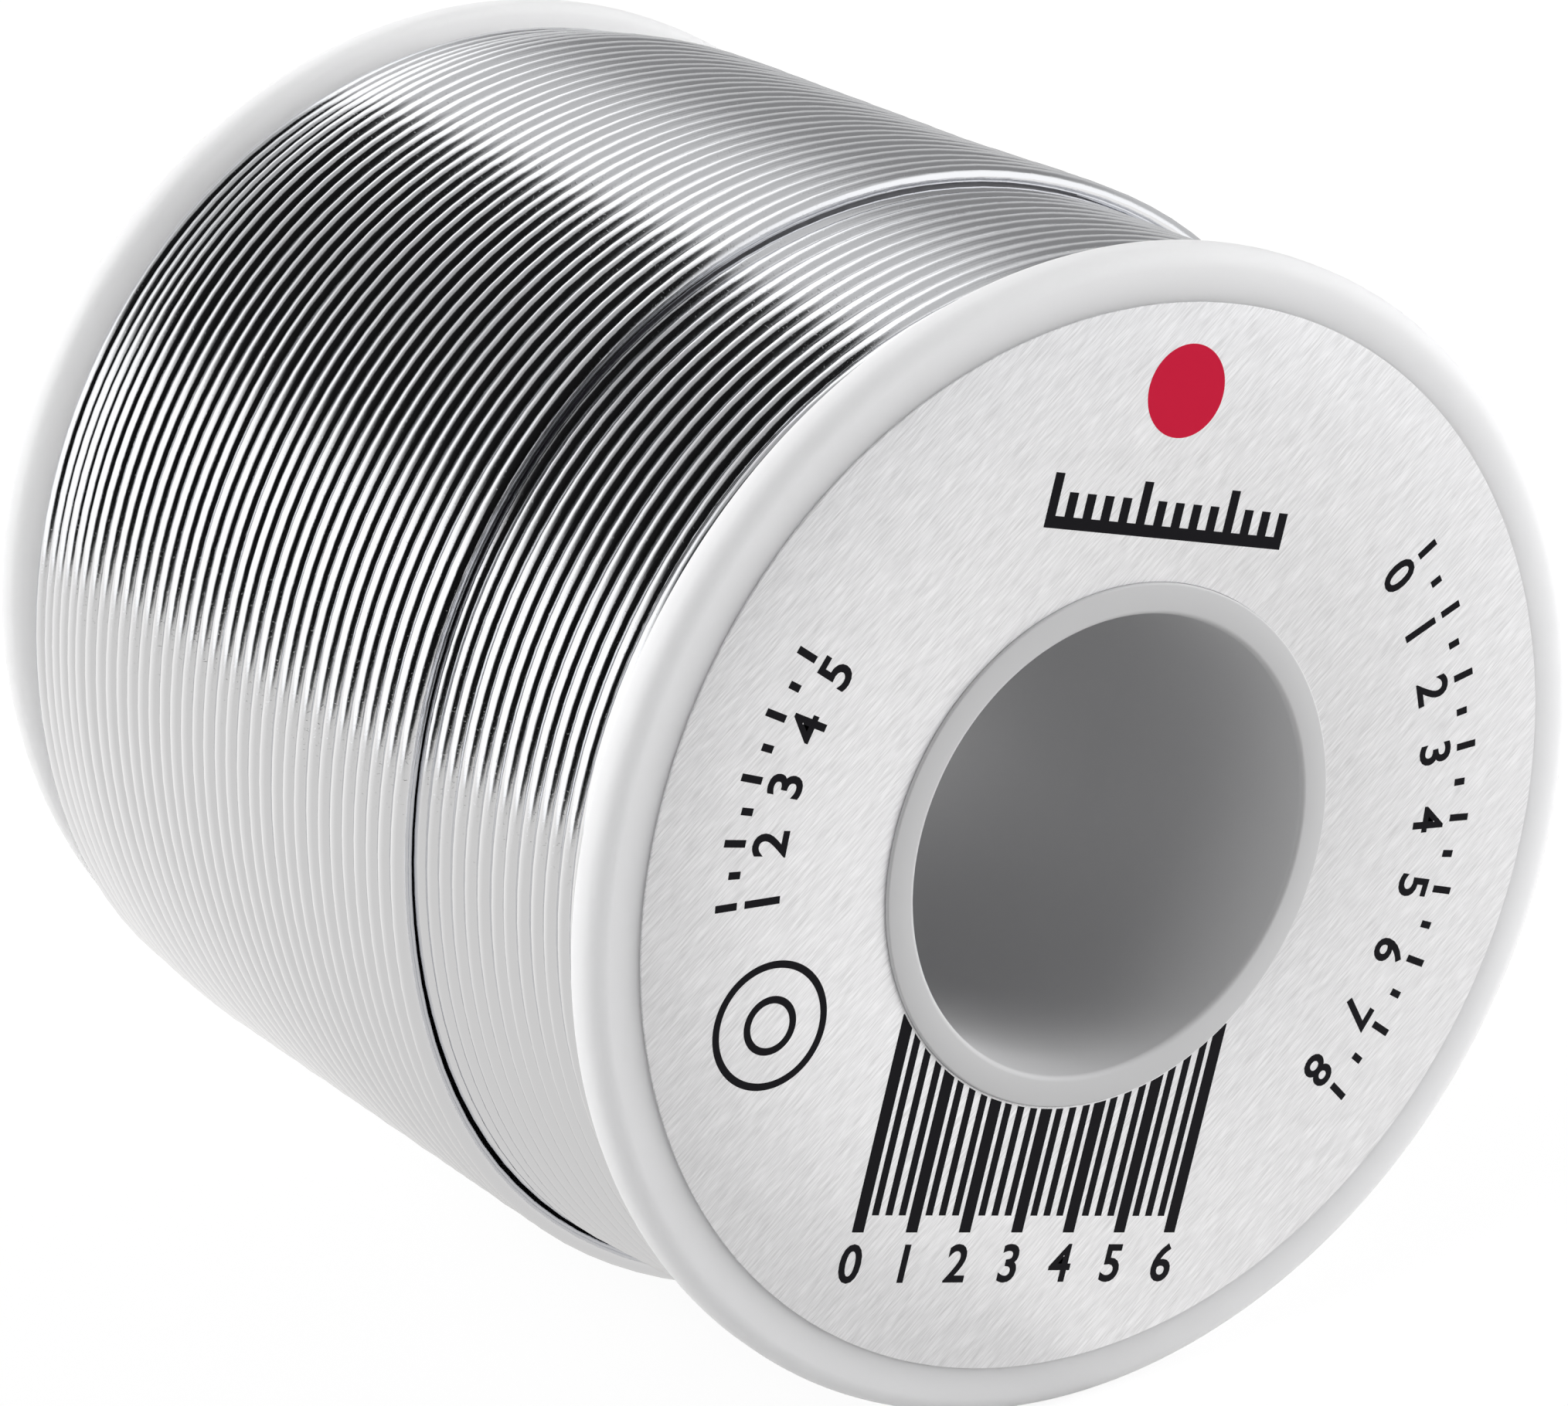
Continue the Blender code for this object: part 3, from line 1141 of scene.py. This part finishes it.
@dataclass
class Studio:
    """Plain pale floor, soft light and the camera."""

    view_azimuth_deg: float = 34.40
    view_elevation_deg: float = 20.92
    view_distance: float = 0.2743
    aim: tuple[float, float, float] = (0.4 * MM, -1.0 * MM, -1.5 * MM)
    lens_mm: float = 132.47
    floor_size: float = 0.9
    floor_gap: float = 0.05 * MM  # under the flanges' rims
    floor_bounce: float = 0.62
    floor_glow: float = 0.88  # with the shade below, the floor reads as white and keeps the shadow
    floor_shade: float = 0.17
    floor_tint: tuple[float, float, float] = (1.0, 0.985, 0.96)  # as metal sees the floor
    soft_light: float = 0.62
    side_light: tuple[float, float] = (1.2, 0.75)  # share of the soft light from the left and the right
    end_light: float = 0.10  # soft light from straight in front, which is all that shines down the bore
    end_light_span: tuple[float, float] = (-0.6, -0.08)  # from it to full light, by a direction's Y
    lamp_size: float = 0.5
    lamps: tuple[tuple[str, tuple[float, float, float], float], ...] = (
        ("left_soft_box", (-0.74, -0.10, 0.45), 1.3),  # place and watts
        ("right_soft_box", (0.70, -0.42, 0.24), 7.0),
        ("back_soft_box", (-0.43, 0.66, 0.20), 4.2),
    )
    wall_level: float = 0.60
    floor_levels: tuple[tuple[float, float], ...] = (  # azimuth and level, as metal sees the floor
        (-180, 0.80),
        (-134, 0.73),
        (-94, 0.74),
        (-60, 0.88),
        (-34, 1.05),
        (0, 0.85),
        (50, 0.70),
        (150, 1.03),
        (173, 1.15),
    )
    panels: tuple[Panel, ...] = (
        Panel((-220, -58), (-20, 110), 0.005, 30),  # the unlit room to the left and behind the viewer
        Panel((168, 220), (-20, 110), 0.005, 5),  # the same up to the reflector, with a harder edge
        Panel((50, 122), (26, 62), 0.27, 12, 10),  # dim ceiling corner at the right
        Panel((-60, -8), (38, 110), 0.42, 8),  # the wall over the screen, less lit
        Panel((-99, -13), (-20, 33), 1.3, 10, 9),  # white screen behind the table
        Panel((0, 32), (13, 110), 1.3, 6, 8),  # tall soft box beside the screen
        Panel((112, 162), (-30, 38), 1.15, 7, 7),  # low reflector at the viewer's right
    )

    def build(self) -> None:
        """Set the floor, the world, the lamps and the camera."""
        self._floor()
        self._world()
        self._lamps()
        self._camera()
        bpy.context.scene.view_settings.view_transform = "Standard"

    def _floor(self) -> None:
        """Lay the pale floor, which reads as white and keeps a soft shadow."""
        deselect_all()
        low, _ = CAD_BOX
        bpy.ops.mesh.primitive_circle_add(
            vertices=PLAIN_STEPS,
            radius=self.floor_size / 2,
            fill_type="NGON",
            location=(0.0, 0.0, low.z - self.floor_gap),
        )
        floor = bpy.context.view_layer.objects.active
        floor.name = "studio_floor"
        material = bpy.data.materials.new("white_table_laminate")
        material.use_nodes = True
        tree = material.node_tree
        tree.nodes.clear()
        paths = add_node(tree, "LightPath")
        matt = add_node(tree, "BsdfDiffuse", {"Color": (self.floor_bounce,) * 3 + (1.0,)})
        gleam = add_node(
            tree, "Emission", {"Color": self.floor_tint + (1.0,), "Strength": self._floor_level(tree)}
        )
        bounced = add_node(
            tree, "MixShader", {0: paths.outputs["Is Glossy Ray"], 1: matt.outputs[0], 2: gleam.outputs[0]}
        )
        shade = add_node(tree, "BsdfDiffuse", {"Color": (self.floor_shade,) * 3 + (1.0,)})
        glow = add_node(tree, "Emission", {"Color": (1.0, 1.0, 1.0, 1.0), "Strength": self.floor_glow})
        shown = add_node(tree, "AddShader", {0: shade.outputs[0], 1: glow.outputs[0]})
        mix = add_node(
            tree, "MixShader", {0: paths.outputs["Is Camera Ray"], 1: bounced.outputs[0], 2: shown.outputs[0]}
        )
        add_node(tree, "OutputMaterial", {"Surface": mix.outputs[0]})
        floor.data.materials.append(material)

    def _floor_level(self, tree: bpy.types.NodeTree) -> bpy.types.NodeSocket:
        """Grade the floor that metal sees, by the direction from the spool.

        Args:
            tree: The floor's node tree.

        Returns:
            The socket that gives the floor's brightness at a place.
        """
        place = add_node(tree, "SeparateXYZ", {0: add_node(tree, "TexCoord").outputs["Object"]})
        turn = add_node(tree, "Math", {0: place.outputs["X"], 1: place.outputs["Y"]}, operation="ARCTAN2")
        share = add_node(tree, "MapRange", {"Value": turn.outputs[0], 1: -math.pi, 2: math.pi})
        grade = add_node(tree, "ValToRGB", {0: share.outputs[0]})
        stops = grade.color_ramp.elements
        for _ in self.floor_levels[2:]:
            stops.new(0.5)  # anywhere: each stop gets its place below
        for stop, (azimuth, level) in zip(stops, self.floor_levels):
            stop.position = (azimuth + 180) / 360
            stop.color = (level, level, level, 1.0)
        return grade.outputs["Color"]

    def _world(self) -> None:
        """Set a white surround for the eye, even soft light for matt surfaces and a studio for gloss."""
        world = bpy.data.worlds.new("soft_studio")
        bpy.context.scene.world = world
        world.use_nodes = True
        tree = world.node_tree
        tree.nodes.clear()
        paths = add_node(tree, "LightPath")
        white = add_node(tree, "Background", {"Color": (1.0, 1.0, 1.0, 1.0), "Strength": 1.0})
        way = add_node(tree, "SeparateXYZ", {0: add_node(tree, "TexCoord").outputs["Generated"]})
        sides = self.side_light
        left = add_node(tree, "MapRange", {"Value": way.outputs["X"], 1: -1.0, 3: sides[0], 4: sides[1]})
        even = add_node(tree, "Math", {0: left.outputs[0], 1: self.soft_light}, operation="MULTIPLY")
        dim, full = self.end_light_span
        level = add_node(
            tree,
            "MapRange",
            {"Value": way.outputs["Y"], 1: dim, 2: full, 3: self.end_light, 4: even.outputs[0]},
            interpolation_type="SMOOTHSTEP",
        )
        soft = add_node(tree, "Background", {"Color": (1.0, 1.0, 1.0, 1.0), "Strength": level.outputs[0]})
        room = add_node(tree, "Background", {"Color": self._room_colour(tree), "Strength": 1.0})
        lit = add_node(
            tree, "MixShader", {0: paths.outputs["Is Glossy Ray"], 1: soft.outputs[0], 2: room.outputs[0]}
        )
        seen = add_node(
            tree, "MixShader", {0: paths.outputs["Is Camera Ray"], 1: lit.outputs[0], 2: white.outputs[0]}
        )
        add_node(tree, "OutputWorld", {"Surface": seen.outputs[0]})

    def _room_colour(self, tree: bpy.types.NodeTree) -> bpy.types.NodeSocket:
        """Lay the panels over the plain wall, each by its direction.

        Args:
            tree: The world's node tree.

        Returns:
            The socket that gives the room's brightness in a direction.
        """
        way = add_node(tree, "SeparateXYZ", {0: add_node(tree, "TexCoord").outputs["Generated"]})
        turn = add_node(tree, "Math", {0: way.outputs["X"], 1: way.outputs["Y"]}, operation="ARCTAN2")
        rise = add_node(tree, "Math", {0: way.outputs["Z"]}, operation="ARCSINE")
        azimuth = add_node(tree, "Math", {0: turn.outputs[0]}, operation="DEGREES")
        elevation = add_node(tree, "Math", {0: rise.outputs[0]}, operation="DEGREES")
        room = (self.wall_level,) * 3 + (1.0,)
        for panel in self.panels:
            mask = 1.0
            for angle, (low, high), blur in (
                (azimuth, panel.azimuth, panel.side_blur),
                (elevation, panel.elevation, panel.end_blur),
            ):
                for edge, before, after in ((low, 0.0, 1.0), (high, 1.0, 0.0)):
                    fade = add_node(
                        tree,
                        "MapRange",
                        {"Value": angle.outputs[0], 1: edge - blur, 2: edge + blur, 3: before, 4: after},
                        interpolation_type="SMOOTHSTEP",
                    )
                    masked = add_node(tree, "Math", {0: mask, 1: fade.outputs[0]}, operation="MULTIPLY")
                    mask = masked.outputs[0]
            grey = (panel.level,) * 3 + (1.0,)
            room = add_node(tree, "Mix", {0: mask, 6: room, 7: grey}, data_type="RGBA").outputs[2]
        return room

    def _lamps(self) -> None:
        """Hang the soft lamps, aimed at the spool and left out of its reflections."""
        for name, place, watts in self.lamps:
            light = bpy.data.lights.new(name, "AREA")
            light.shape = "SQUARE"
            light.size = self.lamp_size
            light.energy = watts
            lamp = bpy.data.objects.new(name, light)
            lamp.location = place
            lamp.rotation_mode = "QUATERNION"
            lamp.rotation_quaternion = (-Vector(place)).to_track_quat("-Z", "Y")
            lamp.visible_glossy = False
            bpy.context.scene.collection.objects.link(lamp)

    def _camera(self) -> None:
        """Set the camera at its viewing angle, level and aimed near the spool's middle."""
        azimuth = math.radians(self.view_azimuth_deg)
        elevation = math.radians(self.view_elevation_deg)
        forward = Vector(
            (
                math.sin(azimuth) * math.cos(elevation),
                math.cos(azimuth) * math.cos(elevation),
                -math.sin(elevation),
            )
        )
        camera = bpy.data.objects.new("camera", bpy.data.cameras.new("camera"))
        camera.data.lens = self.lens_mm
        camera.data.sensor_width = 36.0
        camera.data.clip_start = 0.01
        camera.data.clip_end = 10.0
        camera.location = Vector(self.aim) - forward * self.view_distance
        camera.rotation_mode = "QUATERNION"
        camera.rotation_quaternion = forward.to_track_quat("-Z", "Y")
        bpy.context.scene.collection.objects.link(camera)
        bpy.context.scene.camera = camera


def main() -> None:
    """Build the spool piece by piece, then the studio round it."""
    logging.basicConfig(level=logging.INFO, format="%(name)s: %(message)s")
    SpoolBody().build()
    Winding().build()
    FoilLabel().build()
    Studio().build()


if __name__ == "__main__":
    main()
